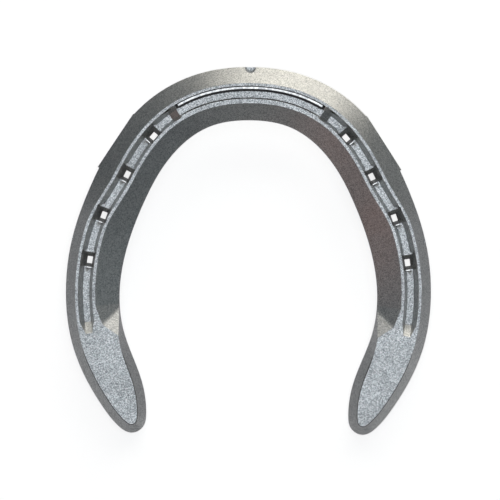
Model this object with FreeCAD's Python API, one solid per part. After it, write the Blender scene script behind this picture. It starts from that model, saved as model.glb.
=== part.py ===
import FreeCAD, Part
import math
import os

# A hind horseshoe: one aluminium forging with two side clips and eight nail holes,
# and a hard steel strip set into the groove at its toe.  Lengths are in millimetres.
# The hoof sits on the plane Z = 0 and the ground face looks along +Z.  The toe points along +Y.
# The right half is modelled and mirrored in the plane X = 0.

Vector = FreeCAD.Vector

thickness = 10.0
hoof_edge_break = 0.4
rim_wall_height = 3.0

# Half of the rim seen from above: round the outside from the toe to the heel tip, and back inside.
rim_points = [
    (0.0, 66.5), (20.5, 63.3), (38.3, 52.8), (56.5, 25.2), (64.7, 0.5), (66.1, -14.5),
    (63.0, -36.3), (51.8, -57.8), (46.5, -64.0), (42.0, -66.3), (37.6, -64.0), (36.6, -59.5),
    (38.2, -48.0), (44.9, -30.0), (46.6, -14.0), (44.3, 0.0), (38.2, 17.0), (29.4, 32.7),
    (14.5, 44.8), (0.0, 47.2),
]
rail_spacing = 3.0
plate_breaks = [0.0, 69.0, 138.0, 170.0, 182.0, 250.0]

# The bevel round the ground face.  It is wide at the toe and the clips and narrow further back.
toe_bevel_width = 6.0
quarter_bevel_width = 3.6
heel_bevel_width = 3.2
inner_bevel_width = 0.5
bevel_narrows_from = 69.0
bevel_narrows_to = 92.0
heel_tip_place = 175.0
inner_bevel_full = 205.0
inner_bevel_gone = 231.0
step_height = 0.5
step_width = 0.2
toe_step_share = 0.2

# The slope inside the ground face, and the facet where it runs out before the heel.
band_width = 7.25
inner_edge_height = 4.5
slope_outer_reach = 155.0
slope_inner_reach = 115.0
run_out_at_band = (52.9, -27.0)
run_out_at_bevel = (47.0, -31.0)
run_out_at_edge = (46.4, -20.5)
run_out_place = 131.0
run_out_radius = 5.5
run_out_shares = [0.25, 0.5, 0.75]

# The relief on the hoof side, which keeps the inner edge off the sole.
relief_width = 6.0
relief_depth = 0.8
relief_starts = 236.0
relief_full = 256.0

# The groove, measured inwards from the edge of the ground face.
groove_outer = 1.05
floor_outer = 2.7
floor_inner = 5.1
groove_inner = 6.15
groove_depth = 4.0
toe_groove_outer = 1.0
toe_floor_inner = 5.2
toe_groove_inner = 5.65
toe_groove_depth = 1.3
groove_end_width = 2.5
groove_end_lift = 0.2
groove_line_end = 150.0

# Places along the middle of the groove, measured from the toe.
shoulder_starts = 27.1
drop_starts = 27.5
drop_ends = 30.6
rise_starts = 114.0
rise_ends = 118.4

# The nail holes.  Each is a tapered pocket over a narrow shank hole that leans towards the inner edge.
first_nail = 40.0
nail_pitch = 17.1
nail_leans = [1.0, 0.6, 0.8, 0.6]
pocket_lead = 0.2
pocket_length = 5.3
pocket_width = 4.2
pocket_spread = 0.5
pocket_floor = 3.0
neck_width = 2.15
neck_length = 2.9
exit_width = 1.85
exit_length = 2.5

# The groove floor widens on the toe side of each pocket, and is dented behind a lip on the heel side.
floor_off_middle = 0.25
fishtail_length = 1.2
fishtail_depth = 0.1
fishtail_width = 4.2
lip_height = 0.5
lip_face = 0.1
lip_top = 0.35
lip_back = 0.3
lip_width = 3.2
lip_root = 0.3
dent_length = 2.0
dent_width = 2.6
dent_depth = 0.3

# The steel strip in the toe.
insert_half_length = 26.2
insert_outer = 1.15
insert_crown_inner = 2.05
insert_foot_inner = 2.85
insert_chamfer = 0.2
insert_chamfer_depth = 0.25
insert_depth = 5.0
dovetail = 0.4
end_gap_length = 0.9
end_gap_depth = 2.6
end_gap_outer = 1.05
end_gap_inner = 2.65

# The clips.  The outside of each is a flat face that cuts across the curve of the rim.
clip_start = (42.3, 49.2)
clip_end = (55.0, 29.8)
clip_height = 11.5
clip_tip_radius = 5.5
clip_root_thickness = 2.8
clip_tip_thickness = 1.8
clip_lean = 0.6
clip_root_radius = 0.8
clip_foot_height = 2.1
clip_foot_slant = 2.0
clip_buried_height = 5.5
clip_buried_depth = 6.0
clip_buried_from = 1.5

# Small half-round marks pressed into the rim.
toe_mark_radius = 2.25
toe_mark_floor = 1.2
side_mark_radius = 1.5
side_mark_floor = 3.2
side_mark_place = 97.3
side_mark_outside = 0.45
mark_draft = 0.5

above = 1.0
reach = 200.0
on_plane = 0.001
sewing_tolerance = 0.001


def mirrored(shape):
    """The same shape on the other side of the shoe's middle plane."""
    return shape.mirror(Vector(0, 0, 0), Vector(1, 0, 0))


def build_rim():
    """Edge along the right half of the rim, level with the mirror plane at both ends."""
    half = [Vector(x, y, 0) for x, y in rim_points]
    extra = 5
    before = [Vector(-point.x, point.y, 0) for point in half[extra:0:-1]]
    after = [Vector(-point.x, point.y, 0) for point in half[-2:-2 - extra:-1]]
    points = before + half + after
    marks = [0.0]
    for first, second in zip(points, points[1:]):
        marks.append(marks[-1] + first.distanceToPoint(second))
    curve = Part.BSplineCurve()
    curve.interpolate(Points=points, Parameters=marks)
    return curve.toShape(marks[extra], marks[extra + len(half) - 1])


rim = build_rim()
rim_length = rim.Length


def rim_frame(along):
    """Point, direction of travel and direction into the metal at a distance along the rim."""
    side = 1.0
    if along < 0.0:
        along = -along
        side = -1.0
    if along > rim_length:
        along = 2.0 * rim_length - along
        side = -1.0
    mark = rim.getParameterByLength(along)
    point = rim.valueAt(mark)
    travel = rim.tangentAt(mark)
    inward = Vector(side * travel.y, -travel.x, 0)
    return Vector(side * point.x, point.y, 0), Vector(travel.x, side * travel.y, 0), inward


def spot(along, inset, height):
    """Point a distance in from the rim, at a height over the hoof plane."""
    point, travel, inward = rim_frame(along)
    place = point + inward * inset
    if abs(place.x) < on_plane:
        place.x = 0.0
    place.z = height
    return place


def even(first, last, start, end):
    """Function that changes evenly from one value to another between two places."""
    return lambda along: start + (end - start) * (along - first) / (last - first)


def eased(along, first, last, start, end):
    """Value that changes smoothly between two places and is steady outside them."""
    share = min(1.0, max(0.0, (along - first) / (last - first)))
    return start + (end - start) * share * share * (3.0 - 2.0 * share)


def rail(first, last, inset, height):
    """Smooth edge beside the rim.  The inset and the height are functions of the place."""
    count = max(2, round((last - first) / rail_spacing))
    spacing = (last - first) / count
    extra = 3
    marks = [first + spacing * step for step in range(-extra, count + extra + 1)]
    points = [spot(mark, inset(mark), height(mark)) for mark in marks]
    curve = Part.BSplineCurve()
    curve.interpolate(Points=points, Parameters=marks)
    return curve.toShape(first, last)


def closed_solid(faces):
    """Solid inside faces that meet edge to edge."""
    skin = Part.Compound(faces)
    skin.sewShape(sewing_tolerance)
    return Part.makeSolid(skin.Shells[0])


def polygon_face(points):
    """Flat face with straight sides."""
    return Part.Face(Part.makePolygon(points + points[:1]))


def bar(stations, datum):
    """Solid along the rim.  Its polygon section changes evenly between stations."""
    faces = []
    for (first, start), (last, end) in zip(stations, stations[1:]):
        rails = []
        for (inset_a, height_a), (inset_b, height_b) in zip(start, end):
            inset = even(first, last, inset_a, inset_b)
            height = even(first, last, height_a, height_b)
            rails.append(rail(first, last, lambda along, f=inset: datum(along) + f(along), height))
        for number in range(len(rails)):
            faces.append(Part.makeRuledSurface(rails[number - 1], rails[number]))
    for along, section in (stations[0], stations[-1]):
        faces.append(polygon_face([spot(along, datum(along) + inset, height) for inset, height in section]))
    return closed_solid(faces)


def bevel_width(along):
    """Width of the bevel between the rim and the ground face."""
    if along < bevel_narrows_to:
        return eased(along, bevel_narrows_from, bevel_narrows_to, toe_bevel_width, quarter_bevel_width)
    if along < inner_bevel_full:
        return eased(along, bevel_narrows_to, heel_tip_place, quarter_bevel_width, heel_bevel_width)
    return eased(along, inner_bevel_full, inner_bevel_gone, heel_bevel_width, inner_bevel_width)


def step_share(along):
    """Share of the full step at the edge of the ground face: small at the toe, full further back."""
    return eased(along, bevel_narrows_from, bevel_narrows_to, toe_step_share, 1.0)


def rim_itself(along):
    """Datum for sections that are measured from the rim."""
    return 0.0


def half_plate():
    """The right half of the shoe before the slope, the groove and the holes are cut."""
    levels = [
        (lambda along: hoof_edge_break, lambda along: 0.0),
        (lambda along: 0.0, lambda along: hoof_edge_break),
        (lambda along: 0.0, lambda along: rim_wall_height),
        (lambda along: bevel_width(along) - step_width * step_share(along),
         lambda along: thickness - step_height * step_share(along)),
        (bevel_width, lambda along: thickness),
    ]
    stretches = [
        [rail(first, last, inset, height) for inset, height in levels]
        for first, last in zip(plate_breaks, plate_breaks[1:] + [rim_length])
    ]
    faces = []
    for rails in stretches:
        faces.extend(Part.makeRuledSurface(low, high) for low, high in zip(rails, rails[1:]))
    toe_ends = [edge.valueAt(edge.FirstParameter) for edge in stretches[0]]
    inner_ends = [edge.valueAt(edge.LastParameter) for edge in stretches[-1]]
    for level in (0, -1):
        closing = Part.makeLine(inner_ends[level], toe_ends[level])
        faces.append(Part.Face(Part.Wire([rails[level] for rails in stretches] + [closing])))
    faces.append(polygon_face(toe_ends + inner_ends[::-1]))
    return closed_solid(faces)


def upward_normal(first, second):
    """Unit vector square to two directions, on the side of the ground face."""
    facing = first.cross(second).normalize()
    if facing.z < 0.0:
        facing = facing * -1.0
    return facing


def run_out_planes():
    """Point and normal of each plane that ends the slope: the facet, and three that hollow its crease."""
    at_band = Vector(*run_out_at_band, thickness)
    at_bevel = Vector(*run_out_at_bevel, thickness)
    at_edge = Vector(*run_out_at_edge, inner_edge_height)
    crease = at_edge - at_band
    facet = upward_normal(at_bevel - at_band, crease)
    slope = upward_normal(rim_frame(run_out_place)[1], crease)
    axis_point = at_band + (facet + slope) * (run_out_radius / (1.0 + facet.dot(slope)))
    planes = [(at_band, facet)]
    for share in run_out_shares:
        facing = (facet * (1.0 - share) + slope * share).normalize()
        planes.append((axis_point - facing * run_out_radius, facing))
    return planes


def slope_cut():
    """Metal that is cut away inside the ground face, with the facet where the slope runs out."""
    drop = thickness - inner_edge_height
    count = round(slope_outer_reach / rail_spacing)
    shares = [step / count for step in range(-3, count + 4)]
    low_points = []
    high_points = []
    for share in shares:
        outer_place = slope_outer_reach * share
        ridge = spot(outer_place, bevel_width(outer_place) + band_width, thickness)
        edge = spot(rim_length - slope_inner_reach * share, 0.0, inner_edge_height)
        fall = edge - ridge
        high_points.append(ridge - fall * (above / drop))
        low_points.append(edge + fall * (above / drop))
    lid_points = [Vector(point.x, point.y, thickness + above) for point in low_points]
    edges = []
    for points in (low_points, high_points, lid_points):
        curve = Part.BSplineCurve()
        curve.interpolate(Points=points, Parameters=shares)
        edges.append(curve.toShape(0.0, 1.0))
    faces = [Part.makeRuledSurface(edges[number - 1], edges[number]) for number in range(3)]
    faces.append(polygon_face([Vector(0, edge.valueAt(0.0).y, edge.valueAt(0.0).z) for edge in edges]))
    faces.append(polygon_face([edge.valueAt(1.0) for edge in edges]))
    wedge = closed_solid(faces)
    for point, facing in run_out_planes():
        wedge = wedge.common(Part.makeCylinder(reach, reach, point, facing))
    return wedge


def relief_cut():
    """Shallow wedge that is cut from the hoof side along the inner edge."""
    rise = relief_depth / relief_width
    full = [
        (-above, relief_depth + above * rise),
        (relief_width + above, -above * rise),
        (-above, -above * rise),
    ]
    below = [(inset, height - relief_depth - above) for inset, height in full]
    return bar([(relief_starts, below), (relief_full, full), (rim_length, full)], rim_itself)


groove_middle = (groove_outer + groove_inner) / 2.0
groove_line = rail(
    0.0, groove_line_end, lambda along: bevel_width(along) + groove_middle, lambda along: thickness,
)


def groove_place(distance):
    """Place along the rim that is level with a distance along the middle of the groove."""
    return groove_line.getParameterByLength(distance)


def wall(outer, inner, floor_from, floor_to, depth):
    """Groove section with its walls carried on above the ground face."""
    lift = above / depth
    return [
        (outer - (floor_from - outer) * lift, thickness + above),
        (floor_from, thickness - depth),
        (floor_to, thickness - depth),
        (inner + (inner - floor_to) * lift, thickness + above),
    ]


def groove_cuts():
    """The shallow groove behind the insert, and the deep groove of the nails with a ramp at each end."""
    toe = wall(toe_groove_outer, toe_groove_inner, toe_groove_outer, toe_floor_inner, toe_groove_depth)
    shoulder = wall(groove_outer, groove_inner, floor_outer, floor_inner, toe_groove_depth)
    deep = wall(groove_outer, groove_inner, floor_outer, floor_inner, groove_depth)
    half_end = groove_end_width / 2.0
    end_level = thickness + groove_end_lift
    end = [
        (groove_middle - half_end - groove_end_lift, end_level + above),
        (groove_middle - half_end, end_level),
        (groove_middle + half_end, end_level),
        (groove_middle + half_end + groove_end_lift, end_level + above),
    ]
    nail_stations = [
        (groove_place(shoulder_starts), shoulder),
        (groove_place(drop_starts), shoulder),
        (groove_place(drop_ends), deep),
        (groove_place(rise_starts), deep),
        (groove_place(rise_ends), end),
    ]
    toe_stations = [(0.0, toe), (groove_place(shoulder_starts), toe)]
    return [bar(toe_stations, bevel_width), bar(nail_stations, bevel_width)]


def local_placement(origin, x_axis, y_axis):
    """Placement whose X and Y axes lie along two level directions."""
    matrix = FreeCAD.Matrix()
    z_axis = x_axis.cross(y_axis)
    matrix.A11, matrix.A21, matrix.A31 = x_axis.x, x_axis.y, x_axis.z
    matrix.A12, matrix.A22, matrix.A32 = y_axis.x, y_axis.y, y_axis.z
    matrix.A13, matrix.A23, matrix.A33 = z_axis.x, z_axis.y, z_axis.z
    matrix.A14, matrix.A24, matrix.A34 = origin.x, origin.y, origin.z
    return FreeCAD.Placement(matrix)


def rectangle(centre_x, centre_y, length, width, height):
    """Level rectangle as a wire."""
    half_x = length / 2.0
    half_y = width / 2.0
    corners = [(-half_x, -half_y), (half_x, -half_y), (half_x, half_y), (-half_x, half_y)]
    points = [Vector(centre_x + x, centre_y + y, height) for x, y in corners]
    return Part.makePolygon(points + points[:1])


def nail_frame(number):
    """Placement at a nail hole: X towards the toe, Y into the metal, Z up, on the groove's middle line."""
    along = groove_place(first_nail + nail_pitch * number)
    point, travel, inward = rim_frame(along)
    origin = point + inward * (bevel_width(along) + groove_middle)
    return local_placement(origin, travel * -1.0, inward)


def nail_cut(number):
    """Tapered pocket, neck and shank hole of one nail, with the widened floor on the toe side."""
    lean = nail_leans[number]
    floor = thickness - groove_depth
    top_width = groove_inner - groove_outer
    sections = [
        rectangle(pocket_lead, 0.0, pocket_length + pocket_spread, top_width, thickness + above),
        rectangle(pocket_lead, floor_off_middle, pocket_length, pocket_width, floor),
        rectangle(0.0, lean, neck_length, neck_width, pocket_floor),
        rectangle(0.0, lean, exit_length, exit_width, 0.0),
        rectangle(0.0, lean, exit_length, exit_width, -above),
    ]
    pocket = Part.makeLoft(sections, True, True)
    cut = pocket.fuse([fishtail(), dent()])
    cut.Placement = nail_frame(number)
    return cut


def fishtail():
    """Cut that widens the groove floor towards the toe end of a pocket."""
    near = pocket_lead + pocket_length / 2.0 - fishtail_depth
    far = near + fishtail_length
    level = thickness - groove_depth - fishtail_depth
    near_half = fishtail_width / 2.0
    far_half = (floor_inner - floor_outer) / 2.0
    corners = [
        Vector(near, floor_off_middle - near_half, level), Vector(far, floor_off_middle - far_half, level),
        Vector(far, floor_off_middle + far_half, level), Vector(near, floor_off_middle + near_half, level),
    ]
    return polygon_face(corners).extrude(Vector(0, 0, groove_depth + above))


def dent():
    """Three-cornered dent in the groove floor behind a lip, fading out towards the heel."""
    floor = thickness - groove_depth
    near = pocket_lead - pocket_length / 2.0 - lip_face - lip_top - lip_back
    lifted = floor + fishtail_depth
    corners = [
        Vector(near, floor_off_middle - dent_width / 2.0, lifted),
        Vector(near, floor_off_middle + dent_width / 2.0, lifted),
        Vector(near, floor_off_middle, floor - dent_depth),
    ]
    point = Vector(near - dent_length, floor_off_middle, lifted)
    faces = [polygon_face(corners)]
    for number in range(3):
        faces.append(polygon_face([corners[number - 1], corners[number], point]))
    return closed_solid(faces)


def nail_lip(number):
    """Burr of metal pushed up on the heel side of a pocket, with a narrow flat top."""
    edge = pocket_lead - pocket_length / 2.0
    top_start = edge - lip_face
    top_end = top_start - lip_top
    back = top_end - lip_back
    floor = thickness - groove_depth
    side = [
        Vector(edge, 0, floor - lip_root), Vector(back, 0, floor - lip_root), Vector(back, 0, floor),
        Vector(top_end, 0, floor + lip_height), Vector(top_start, 0, floor + lip_height),
        Vector(edge, 0, floor),
    ]
    lip = polygon_face(side).extrude(Vector(0, lip_width, 0))
    lip.translate(Vector(0, floor_off_middle - lip_width / 2.0, 0))
    lip.Placement = nail_frame(number)
    return lip


def clip_frame():
    """Placement on the clip's outside face, X along the rim and Y into the metal, and the face's length."""
    start = Vector(*clip_start, 0)
    end = Vector(*clip_end, 0)
    travel = (end - start).normalize()
    inward = Vector(travel.y, -travel.x, 0)
    return local_placement((start + end) * 0.5, travel * -1.0, inward), start.distanceToPoint(end)


def clip():
    """One clip with its foot: a rounded tab that leans a little over the hoof side."""
    placement, length = clip_frame()
    half = length / 2.0
    radius = clip_tip_radius
    centre_height = radius - clip_height
    span = math.hypot(half, centre_height)
    touch = math.atan2(-centre_height, half) - math.acos(radius / span)
    touch_x = radius * math.cos(touch)
    touch_z = centre_height + radius * math.sin(touch)
    tip = Part.Arc(
        Vector(touch_x, 0, touch_z), Vector(0, 0, -clip_height), Vector(-touch_x, 0, touch_z),
    )
    outline = Part.Wire([
        Part.makeLine(Vector(-half, 0, clip_buried_height), Vector(half, 0, clip_buried_height)),
        Part.makeLine(Vector(half, 0, clip_buried_height), Vector(half, 0, 0)),
        Part.makeLine(Vector(half, 0, 0), Vector(touch_x, 0, touch_z)),
        tip.toShape(),
        Part.makeLine(Vector(-touch_x, 0, touch_z), Vector(-half, 0, 0)),
        Part.makeLine(Vector(-half, 0, 0), Vector(-half, 0, clip_buried_height)),
    ])
    tab = Part.Face(outline).extrude(Vector(0, clip_buried_depth, 0))
    root = clip_root_radius
    tip_inside = clip_lean + clip_tip_thickness
    slant = Vector(0, tip_inside - clip_root_thickness, -clip_height).normalize()
    inside_root = Vector(0, clip_root_thickness, 0)
    bend_low = inside_root + slant * root
    bend_high = inside_root + Vector(0, root, 0)
    sag = root * (1.0 - math.sqrt(0.5))
    bend_middle = inside_root + Vector(0, sag, -sag)
    points = [
        bend_high, Vector(0, clip_root_thickness + root, clip_buried_from),
        Vector(0, clip_foot_slant, clip_foot_height + clip_foot_slant),
        Vector(0, 0, clip_foot_height), Vector(0, 0, 0), Vector(0, clip_lean, -clip_height),
        Vector(0, tip_inside, -clip_height), bend_low,
    ]
    section = [Part.makeLine(first, second) for first, second in zip(points, points[1:])]
    section.append(Part.Arc(bend_low, bend_middle, bend_high).toShape())
    profile = Part.Face(Part.Wire(section)).extrude(Vector(length + 2.0 * above, 0, 0))
    profile.translate(Vector(-half - above, 0, 0))
    solid = tab.common(profile)
    solid.Placement = placement
    return solid


def clip_flat():
    """Metal outside the clip's flat face, which is cut from the rim."""
    placement, length = clip_frame()
    block = Part.makeBox(length, reach, thickness, Vector(-length / 2.0, -reach, 0))
    block.Placement = placement
    return block


def mark_cut(point, radius, floor):
    """Half-round mark with slightly sloping sides, open towards the ground face."""
    height = thickness - floor
    return Part.makeCone(radius - mark_draft, radius + mark_draft, height, Vector(point.x, point.y, floor))


def insert_section():
    """Section of the steel strip: a chamfered crown on a foot that widens into the body."""
    floor = thickness - toe_groove_depth
    bottom = thickness - insert_depth
    return [
        (insert_outer, thickness - insert_chamfer_depth),
        (insert_outer + insert_chamfer, thickness),
        (insert_crown_inner, thickness),
        (insert_foot_inner, floor),
        (insert_foot_inner + dovetail, bottom),
        (insert_outer - dovetail, bottom),
        (insert_outer, floor),
    ]


def insert_half():
    """The right half of the steel strip."""
    section = insert_section()
    return bar([(0.0, section), (groove_place(insert_half_length), section)], bevel_width)


def insert_slot():
    """Room for the buried part of the strip, carried a little way up into the open groove."""
    floor = thickness - toe_groove_depth
    bottom = thickness - insert_depth
    section = [
        (insert_outer, floor), (insert_outer + above / 2.0, floor + above / 2.0),
        (insert_foot_inner - above / 2.0, floor + above / 2.0), (insert_foot_inner, floor),
        (insert_foot_inner + dovetail, bottom), (insert_outer - dovetail, bottom),
    ]
    return bar([(0.0, section), (groove_place(insert_half_length), section)], bevel_width)


def end_gap_cut():
    """Small gap in the groove past the end of the strip."""
    bottom = thickness - end_gap_depth
    section = [
        (end_gap_outer, bottom), (end_gap_inner, bottom),
        (end_gap_inner, thickness + above), (end_gap_outer, thickness + above),
    ]
    start = groove_place(insert_half_length)
    end = groove_place(insert_half_length + end_gap_length)
    return bar([(start, section), (end, section)], bevel_width)


def build_body():
    """The aluminium forging."""
    half = half_plate()
    half = half.cut(slope_cut())
    half = half.cut(relief_cut())
    half = half.cut(clip_flat())
    half = half.fuse(clip())
    for groove in groove_cuts():
        half = half.cut(groove)
    numbers = range(len(nail_leans))
    half = half.fuse([nail_lip(number) for number in numbers])
    for number in numbers:
        half = half.cut(nail_cut(number))
    half = half.cut(end_gap_cut())
    half = half.cut(insert_slot())
    side_point = spot(side_mark_place, -side_mark_outside, 0.0)
    half = half.cut(mark_cut(side_point, side_mark_radius, side_mark_floor))
    half = half.cut(mark_cut(Vector(0, rim_points[0][1], 0), toe_mark_radius, toe_mark_floor))
    return half.fuse(mirrored(half)).removeSplitter()


def build_insert():
    """The steel strip in the toe."""
    half = insert_half()
    return half.fuse(mirrored(half)).removeSplitter()


os.makedirs("parts", exist_ok=True)
nodes = {"shoe_body": build_body(), "toe_wear_insert": build_insert()}
for name, shape in nodes.items():
    shape.Solids[0].exportStep("parts/" + name + ".step")
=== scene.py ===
"""Looks of a hind horseshoe: blasted aluminium body, steel wear strip, studio light and camera."""

import math

import bpy
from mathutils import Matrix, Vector


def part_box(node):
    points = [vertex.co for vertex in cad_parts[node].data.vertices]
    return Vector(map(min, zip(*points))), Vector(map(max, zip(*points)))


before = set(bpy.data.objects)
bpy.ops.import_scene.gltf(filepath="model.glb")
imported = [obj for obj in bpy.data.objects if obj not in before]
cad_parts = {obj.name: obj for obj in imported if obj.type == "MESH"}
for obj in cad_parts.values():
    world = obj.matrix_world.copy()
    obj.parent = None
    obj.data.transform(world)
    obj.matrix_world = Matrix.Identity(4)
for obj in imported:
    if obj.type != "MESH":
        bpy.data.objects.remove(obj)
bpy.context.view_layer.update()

MM = 0.001
BODY_LOW, BODY_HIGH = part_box("shoe_body")
CLIP_TIP_HEIGHT = BODY_LOW.z
GROUND_FACE = BODY_HIGH.z

# Camera: straight above the ground face, far away with a long lens, so that depth hardly shows.
# The picture's side is measured at the picture height.
CAMERA_DISTANCE = 2.5
PICTURE_SIDE = 181.1 * MM
PICTURE_HEIGHT = 2 * MM
SENSOR_SIDE = 36.0
CAMERA_RIGHT = 0.43 * MM
CAMERA_FORWARD = 0.23 * MM
CAMERA_TURN = math.radians(0.55)
CAMERA_NEAREST = 0.1
CAMERA_FARTHEST = 20.0

# The shoe lies on its clip tips and its heels, so the floor leans under it.
CLIP_TIP_PLACE = 39.5 * MM
HEEL_PLACE = BODY_LOW.y
FLOOR_SIDE = 6.0
FLOOR_GAP = 0.05 * MM
FLOOR_COLOUR = (0.85, 0.85, 0.85, 1)
FLOOR_GLOW = 0.72

# The flat tops of the lips behind the nail pockets lie between these heights, and no other flat face does.
LIP_TOP_LOW = GROUND_FACE - 3.7 * MM
LIP_TOP_HIGH = GROUND_FACE - 3.3 * MM

# Two narrow steep faces get painted shade, as dark lines: the step beside the bevel from behind the groove
# round the heels, and the wall of the groove at the toe.
STEP_BOTTOM = GROUND_FACE - 0.55 * MM
BEHIND_GROOVE = -36 * MM
BEHIND_FADE = 3 * MM
TOE_WALL_BOTTOM = GROUND_FACE - 1.3 * MM
TOE_WALL_FROM = 48 * MM
TOE_WALL_FADE = 2 * MM
HEIGHT_FADE = 0.05 * MM

# How far a face looks up, 0 when upright and 1 when level. Each kind of face fades in or out over its pair.
FLAT_FACES = (0.96, 0.99)
STEEP_FACES = (0.45, 0.6)
UPRIGHT_FACES = (0.05, 0.5)
STRIP_TOP = (0.8, 0.95)

# How much open sky metal needs to be free of painted shade. A hole is all painted shade where it is closed,
# and bare where it is open enough for a level or an upright face. A closed corner keeps part of its painted
# shade.
HOLE_CLOSED = 0.05
HOLE_OPEN_LEVEL = 0.34
HOLE_OPEN_UPRIGHT = 0.9
CORNER_OPENNESS = (0.45, 0.75)
CORNER_UNSHADED_SHARE = 0.4
OPENNESS_SAMPLES = 8
EDGE_SAMPLES = 4

# Most of a noise lies within these values, and the clear middle of the streaks within the closer ones.
NOISE_SPREAD = (0.3, 0.7)
STREAK_SPREAD = (0.4, 0.6)

# Blasted aluminium: sizes of its grain, the reach of its painted shade, and its colours.
GRAIN_SIZE = 0.36 * MM
FINE_GRAIN_SIZE = 0.2 * MM
DIMPLE_SIZE = 0.29 * MM
CLOUD_SIZE = 9 * MM
GRAIN_DEPTH = 0.07 * MM
FINE_GRAIN_DEPTH = 0.03 * MM
BODY_EDGE_RADIUS = 0.12 * MM
HOLE_REACH = 3 * MM
CORNER_REACH = 1.4 * MM
DIMPLE_DARK = (0.24, 0.26, 0.28, 1)
DIMPLE_COOL = (0.93, 0.99, 1.0, 1)
DIMPLE_WARM = (1.0, 0.98, 1.0, 1)
PLAIN_DARK = (0.52, 0.53, 0.53, 1)
PLAIN_BRIGHT = (1.0, 1.0, 0.99, 1)
# Painted highlight: the lip tops are coloured white for the bright line of light along them.
LIP_HIGHLIGHT_COLOUR = (1.0, 1.0, 1.0, 1)
BODY_ROUGHNESS = (0.36, 0.44)
LIP_ROUGHNESS = 0.25
# Painted shade: the dark colour laid where shade falls, in holes, corners and the two steep lines.
PAINTED_SHADE_COLOUR = (0.09, 0.085, 0.08, 1)

# Steel strip: sizes of its grain and streaks, and its colours.
STEEL_GRAIN_SIZE = 0.25 * MM
STEEL_GRAIN_DEPTH = 0.02 * MM
STREAK_SIZE = 1.6 * MM
STRIP_EDGE_RADIUS = 0.06 * MM
STRIP_ROUGHNESS = (0.18, 0.28)
STREAK_DARK = (0.50, 0.51, 0.53, 1)
STREAK_BRIGHT = (0.88, 0.88, 0.87, 1)
# Painted shade: the strip's sides are coloured dark as if in shadow.
STRIP_SIDE_SHADE_COLOUR = (0.13, 0.13, 0.135, 1)

# Both metals: how strongly the parts painted as shade, which aren't bare metal, shine.
PAINTED_SHADE_SHINE = 0.1

# The room: what the metal mirrors between the panels, from above the floor and from below it.
ROOM_ABOVE = (0.070, 0.078, 0.083, 1)
ROOM_BELOW = (0.31, 0.31, 0.32, 1)
ROOM_BELOW_ENDS = -0.82
ROOM_ABOVE_STARTS = -0.32

# Colours of the panels.
WHITE = (1.0, 1.0, 1.0)
SKY = (0.92, 0.965, 1.0)
PALE_SKY = (0.96, 0.98, 1.0)
PALE_CYAN = (0.95, 1.0, 1.0)
CYAN = (0.8, 0.95, 1.0)
LIGHT_CYAN = (0.85, 0.95, 1.0)
COOL = (0.9, 0.95, 1.0)
WARM = (1.0, 0.955, 0.85)
PALE_WARM = (1.0, 0.97, 0.91)
STRAW = (1.0, 0.92, 0.78)
PINK = (1.0, 0.80, 0.76)
BROWN = (1.0, 0.42, 0.30)


def new_material(name):
    """An empty node material and its tree."""
    material = bpy.data.materials.new(name)
    material.use_nodes = True
    material.node_tree.nodes.clear()
    return material, material.node_tree


def feed(tree, socket, value):
    """Links a socket to the value if that is a socket too, or else sets it to the plain value."""
    if isinstance(value, bpy.types.NodeSocket):
        tree.links.new(value, socket)
    else:
        socket.default_value = value


def node(tree, kind, inputs=None, **settings):
    """A node of a kind with its settings, and inputs given as plain values or as sockets."""
    made = tree.nodes.new(kind)
    for name, value in settings.items():
        setattr(made, name, value)
    for name, value in (inputs or {}).items():
        feed(tree, made.inputs[name], value)
    return made


def product(tree, first, *others):
    """The product of shares."""
    result = first
    for other in others:
        result = node(tree, "ShaderNodeMath", {0: result, 1: other}, operation="MULTIPLY").outputs[0]
    return result


def remap(tree, value, low, high, to_low, to_high):
    """The value carried from one range to another, held inside it."""
    inputs = {"Value": value, "From Min": low, "From Max": high, "To Min": to_low, "To Max": to_high}
    return node(tree, "ShaderNodeMapRange", inputs).outputs["Result"]


def rising(tree, value, low, high):
    """0 where the value is under the range and 1 where it is over it, with a ramp between."""
    return remap(tree, value, low, high, 0.0, 1.0)


def falling(tree, value, low, high):
    """1 where the value is under the range and 0 where it is over it, with a ramp between."""
    return remap(tree, value, low, high, 1.0, 0.0)


def noise(tree, place, size, detail=2.0, roughness=0.5):
    """Noise from 0 to 1 whose lumps are about size across."""
    inputs = {"Vector": place, "Scale": 1 / size, "Detail": detail, "Roughness": roughness}
    return node(tree, "ShaderNodeTexNoise", inputs).outputs["Fac"]


def blend_colours(tree, share, first, second):
    """The first colour where the share is 0 and the second where it is 1."""
    # The node's colour sockets share their names with its other sockets, so they are taken by number.
    mixed = node(tree, "ShaderNodeMix", data_type="RGBA")
    feed(tree, mixed.inputs[0], share)
    feed(tree, mixed.inputs[6], first)
    feed(tree, mixed.inputs[7], second)
    return mixed.outputs[2]


def object_place(tree):
    """The place in the piece's own frame, which noise is laid on."""
    return node(tree, "ShaderNodeTexCoord").outputs["Object"]


def position_axes(tree):
    """The three coordinates of the place, in the shared frame."""
    position = node(tree, "ShaderNodeNewGeometry").outputs["Position"]
    return node(tree, "ShaderNodeSeparateXYZ", {0: position}).outputs


def upwardness(tree):
    """The upward part of the face's direction: 1 on level faces and 0 on upright ones."""
    facing = node(tree, "ShaderNodeNewGeometry").outputs["True Normal"]
    return node(tree, "ShaderNodeSeparateXYZ", {0: facing}).outputs["Z"]


def openness(tree, distance):
    """Share of the sky over a place that nothing within a distance hides."""
    open_sky = node(tree, "ShaderNodeAmbientOcclusion", {"Distance": distance}, samples=OPENNESS_SAMPLES)
    return open_sky.outputs["AO"]


def soft_edges(tree, radius):
    """The direction of the faces with the edges between them rounded."""
    return node(tree, "ShaderNodeBevel", {"Radius": radius}, samples=EDGE_SAMPLES).outputs["Normal"]


def bumps(tree, height, depth, normal, strength):
    """The normal with bumps of a depth laid over it."""
    inputs = {"Strength": strength, "Distance": depth, "Height": height, "Normal": normal}
    return node(tree, "ShaderNodeBump", inputs).outputs["Normal"]


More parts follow.
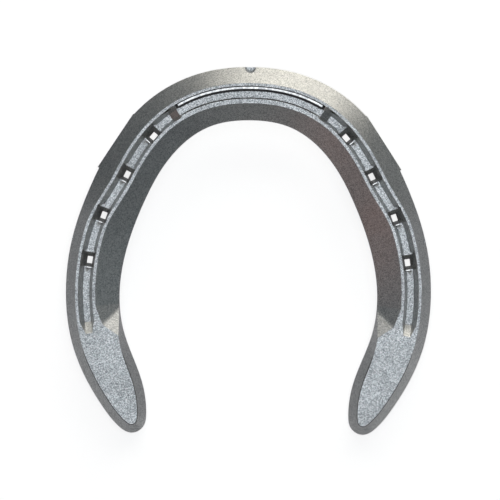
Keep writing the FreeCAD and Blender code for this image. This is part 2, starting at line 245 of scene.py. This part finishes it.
def finish_metal(tree, colour, metallic, roughness, normal):
    """The shader of a metal, joined to the material's output."""
    inputs = {"Base Color": colour, "Metallic": metallic, "Roughness": roughness, "Normal": normal,
              "Specular IOR Level": PAINTED_SHADE_SHINE}
    shader = node(tree, "ShaderNodeBsdfPrincipled", inputs)
    node(tree, "ShaderNodeOutputMaterial", {"Surface": shader.outputs[0]})


def off_painted_shade_lines(tree, axes, upward):
    """0 on the two narrow steep faces that get painted shade, and 1 elsewhere."""
    steep = falling(tree, upward, *STEEP_FACES)
    at_step = rising(tree, axes["Z"], STEP_BOTTOM - HEIGHT_FADE, STEP_BOTTOM)
    behind = falling(tree, axes["Y"], BEHIND_GROOVE - BEHIND_FADE, BEHIND_GROOVE)
    at_wall = rising(tree, axes["Z"], TOE_WALL_BOTTOM, TOE_WALL_BOTTOM + HEIGHT_FADE)
    ahead = rising(tree, axes["Y"], TOE_WALL_FROM, TOE_WALL_FROM + TOE_WALL_FADE)
    off_step = falling(tree, product(tree, steep, at_step, behind), 0.0, 1.0)
    off_wall = falling(tree, product(tree, steep, at_wall, ahead), 0.0, 1.0)
    return product(tree, off_step, off_wall)


def on_lips(tree, axes, flat):
    """1 on the flat tops of the lips, and 0 elsewhere."""
    over_floor = rising(tree, axes["Z"], LIP_TOP_LOW - HEIGHT_FADE, LIP_TOP_LOW)
    under_face = falling(tree, axes["Z"], LIP_TOP_HIGH, LIP_TOP_HIGH + HEIGHT_FADE)
    return product(tree, over_floor, under_face, flat)


def blasted_colour(tree, place, flat):
    """The dimpled colour of the metal free of painted shade, which differs most from dimple to dimple on
    the flats.
    """
    dimples = node(tree, "ShaderNodeTexVoronoi", {"Vector": place, "Scale": 1 / DIMPLE_SIZE})
    shades = node(tree, "ShaderNodeSeparateColor", {"Color": dimples.outputs["Color"]}).outputs
    speckle, tint = shades["Red"], shades["Green"]
    bright = blend_colours(tree, tint, DIMPLE_COOL, DIMPLE_WARM)
    flat_colour = blend_colours(tree, speckle, DIMPLE_DARK, bright)
    plain_colour = blend_colours(tree, speckle, PLAIN_DARK, PLAIN_BRIGHT)
    return blend_colours(tree, flat, plain_colour, flat_colour)


def free_of_painted_shade(tree, axes, upward, lips):
    """1 on bare metal and 0 on painted shade, which lies in holes, corners and the two dark lines."""
    steepness = falling(tree, upward, *UPRIGHT_FACES)
    open_enough = remap(tree, steepness, 0.0, 1.0, HOLE_OPEN_LEVEL, HOLE_OPEN_UPRIGHT)
    out_of_holes = rising(tree, openness(tree, HOLE_REACH), HOLE_CLOSED, open_enough)
    out_of_corners = remap(tree, openness(tree, CORNER_REACH), *CORNER_OPENNESS, CORNER_UNSHADED_SHARE, 1.0)
    off_painted_shade = product(tree, out_of_holes, off_painted_shade_lines(tree, axes, upward), out_of_corners)
    return remap(tree, lips, 0.0, 1.0, off_painted_shade, 1.0)


def blasted_aluminium():
    """Shot-blasted aluminium: grainy, most on the flats; painted highlight on the lips; painted shade in
    holes.
    """
    material, tree = new_material("blasted_aluminium")
    place = object_place(tree)
    axes = position_axes(tree)
    upward = upwardness(tree)
    flat = rising(tree, upward, *FLAT_FACES)
    lips = on_lips(tree, axes, flat)

    # The flat tops of the lips get a painted highlight colour.
    unshaded_colour = blend_colours(tree, lips, blasted_colour(tree, place, flat), LIP_HIGHLIGHT_COLOUR)
    unshaded = free_of_painted_shade(tree, axes, upward, lips)
    # Painted shade darkens holes, corners and the two steep lines, but not the lips.
    colour = blend_colours(tree, unshaded, PAINTED_SHADE_COLOUR, unshaded_colour)

    cloud = noise(tree, place, CLOUD_SIZE, detail=3.0)
    blasted_roughness = remap(tree, cloud, *NOISE_SPREAD, *BODY_ROUGHNESS)
    roughness = remap(tree, lips, 0.0, 1.0, blasted_roughness, LIP_ROUGHNESS)

    grain = noise(tree, place, GRAIN_SIZE, detail=1.0)
    fine_grain = noise(tree, place, FINE_GRAIN_SIZE, detail=1.0)
    smooth = soft_edges(tree, BODY_EDGE_RADIUS)
    coarse = bumps(tree, grain, GRAIN_DEPTH, smooth, strength=0.9)
    fine = bumps(tree, fine_grain, FINE_GRAIN_DEPTH, coarse, strength=0.3)
    finish_metal(tree, colour, unshaded, roughness, fine)
    return material


def ground_steel():
    """Steel of the wear strip: ground bright on top, painted shade on its sides."""
    material, tree = new_material("ground_steel")
    place = object_place(tree)
    ground = rising(tree, upwardness(tree), *STRIP_TOP)
    streaks = rising(tree, noise(tree, place, STREAK_SIZE, detail=3.0, roughness=0.6), *STREAK_SPREAD)
    polished = blend_colours(tree, streaks, STREAK_DARK, STREAK_BRIGHT)
    # The strip's sides get painted shade, its top the streaked ground colour.
    colour = blend_colours(tree, ground, STRIP_SIDE_SHADE_COLOUR, polished)

    grain = noise(tree, place, STEEL_GRAIN_SIZE)
    roughness = remap(tree, grain, *NOISE_SPREAD, *STRIP_ROUGHNESS)
    smooth = soft_edges(tree, STRIP_EDGE_RADIUS)
    grainy = bumps(tree, grain, STEEL_GRAIN_DEPTH, smooth, strength=0.15)
    finish_metal(tree, colour, ground, roughness, grainy)
    return material


def pale_floor():
    """A bright even floor that is clear from below, so that the hoof side can be seen."""
    material, tree = new_material("pale_floor")
    lit = node(tree, "ShaderNodeBsdfDiffuse", {"Color": FLOOR_COLOUR})
    glow = node(tree, "ShaderNodeEmission", {"Color": (1, 1, 1, 1), "Strength": FLOOR_GLOW})
    front = node(tree, "ShaderNodeAddShader", {0: lit.outputs[0], 1: glow.outputs[0]})
    clear = node(tree, "ShaderNodeBsdfTransparent")
    behind = node(tree, "ShaderNodeNewGeometry").outputs["Backfacing"]
    both = node(tree, "ShaderNodeMixShader", {0: behind, 1: front.outputs[0], 2: clear.outputs[0]})
    node(tree, "ShaderNodeOutputMaterial", {"Surface": both.outputs[0]})
    return material


def lay_floor():
    """The floor plane through the clip tips and the heel ends, which the metal doesn't mirror."""
    lean = math.atan2(-CLIP_TIP_HEIGHT, CLIP_TIP_PLACE - HEEL_PLACE)
    bpy.ops.mesh.primitive_plane_add(size=FLOOR_SIDE, location=(0, HEEL_PLACE, -FLOOR_GAP))
    floor = bpy.context.object
    floor.name = "floor"
    floor.rotation_euler = (-lean, 0, 0)
    floor.data.materials.append(pale_floor())
    floor.visible_diffuse = False
    floor.visible_glossy = False
    floor.visible_shadow = False


def softbox(name, azimuth, elevation, distance, width, height, colour, radiance):
    """An even panel facing the shoe, with its sizes in metres and the same radiance all over.

    Azimuth is clockwise from the toe as seen from above, in degrees, and elevation is up from the horizon.
    """
    around, up = math.radians(azimuth), math.radians(elevation)
    way = Vector((math.sin(around) * math.cos(up), math.cos(around) * math.cos(up), math.sin(up)))
    data = bpy.data.lights.new(name, "AREA")
    data.shape = "RECTANGLE"
    data.size = width
    data.size_y = height
    data.color = colour
    data.energy = radiance * math.pi * width * height
    lamp = bpy.data.objects.new(name, data)
    lamp.location = way * distance
    lamp.rotation_euler = way.to_track_quat("Z", "Y").to_euler()
    lamp.visible_camera = False
    bpy.context.scene.collection.objects.link(lamp)


def light_studio():
    """Bright panels overhead and beyond the toe, and faint ones all round."""
    # Name, azimuth, elevation, distance, width, height, colour and radiance.
    softbox("overhead", 0, 90, 3.2, 2.2, 2.2, SKY, 0.97)
    softbox("beyond_toe", 16, 3, 2.0, 1.8, 0.9, WARM, 2.15)
    softbox("above_toe", 5, 31, 2.2, 3.4, 0.9, PALE_WARM, 1.12)
    softbox("over_right", 50, 80, 0.5, 0.25, 0.25, PALE_SKY, 0.42)
    softbox("right_low", 85, -5, 2.0, 1.6, 0.8, PALE_CYAN, 0.12)
    softbox("heel_low", 188, -16, 2.0, 3.0, 1.2, WHITE, 0.16)
    softbox("heel_right_low", 122, -33, 2.0, 1.2, 0.9, WHITE, 0.22)
    softbox("heel_left_low", 240, -33, 2.0, 1.2, 0.9, WHITE, 0.12)
    softbox("right_high", 88, 34, 2.2, 1.2, 1.2, CYAN, 0.10)
    softbox("left_high", 275, 34, 2.2, 1.2, 1.2, COOL, 0.08)
    softbox("left_brown", 228, 32, 2.2, 2.6, 1.2, BROWN, 0.13)
    softbox("left_low", 227, 11, 2.2, 1.4, 0.7, PINK, 0.12)
    softbox("right_ramp", 130, 14, 2.2, 0.7, 0.6, LIGHT_CYAN, 0.08)
    softbox("across_right", 90, -36, 2.0, 1.2, 0.9, WHITE, 0.06)
    softbox("across_left", 270, -36, 2.0, 1.2, 0.9, WHITE, 0.06)
    softbox("heel_high", 180, 28, 2.4, 1.4, 1.2, STRAW, 0.06)


def build_room():
    """A room of two tones, one above and one below, with a blend between."""
    world = bpy.data.worlds.new("room")
    world.use_nodes = True
    tree = world.node_tree
    direction = node(tree, "ShaderNodeTexCoord").outputs["Generated"]
    upward = node(tree, "ShaderNodeSeparateXYZ", {0: direction}).outputs["Z"]
    share = rising(tree, upward, ROOM_BELOW_ENDS, ROOM_ABOVE_STARTS)
    feed(tree, tree.nodes["Background"].inputs["Color"], blend_colours(tree, share, ROOM_BELOW, ROOM_ABOVE))
    bpy.context.scene.world = world


def set_camera():
    """A camera nearly over the middle of the shoe, looking straight down."""
    data = bpy.data.cameras.new("camera")
    data.sensor_width = SENSOR_SIDE
    data.lens = SENSOR_SIDE * CAMERA_DISTANCE / PICTURE_SIDE
    data.clip_start = CAMERA_NEAREST
    data.clip_end = CAMERA_FARTHEST
    camera = bpy.data.objects.new("camera", data)
    camera.location = (CAMERA_RIGHT, CAMERA_FORWARD, PICTURE_HEIGHT + CAMERA_DISTANCE)
    camera.rotation_euler = (0, 0, CAMERA_TURN)
    bpy.context.scene.collection.objects.link(camera)
    bpy.context.scene.camera = camera


def dress(name, material):
    """Gives a CAD node its material through its object's slots."""
    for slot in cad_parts[name].material_slots:
        slot.link = "OBJECT"
        slot.material = material


bpy.context.scene.view_settings.view_transform = "Standard"
dress("shoe_body", blasted_aluminium())
dress("toe_wear_insert", ground_steel())
lay_floor()
light_studio()
build_room()
set_camera()
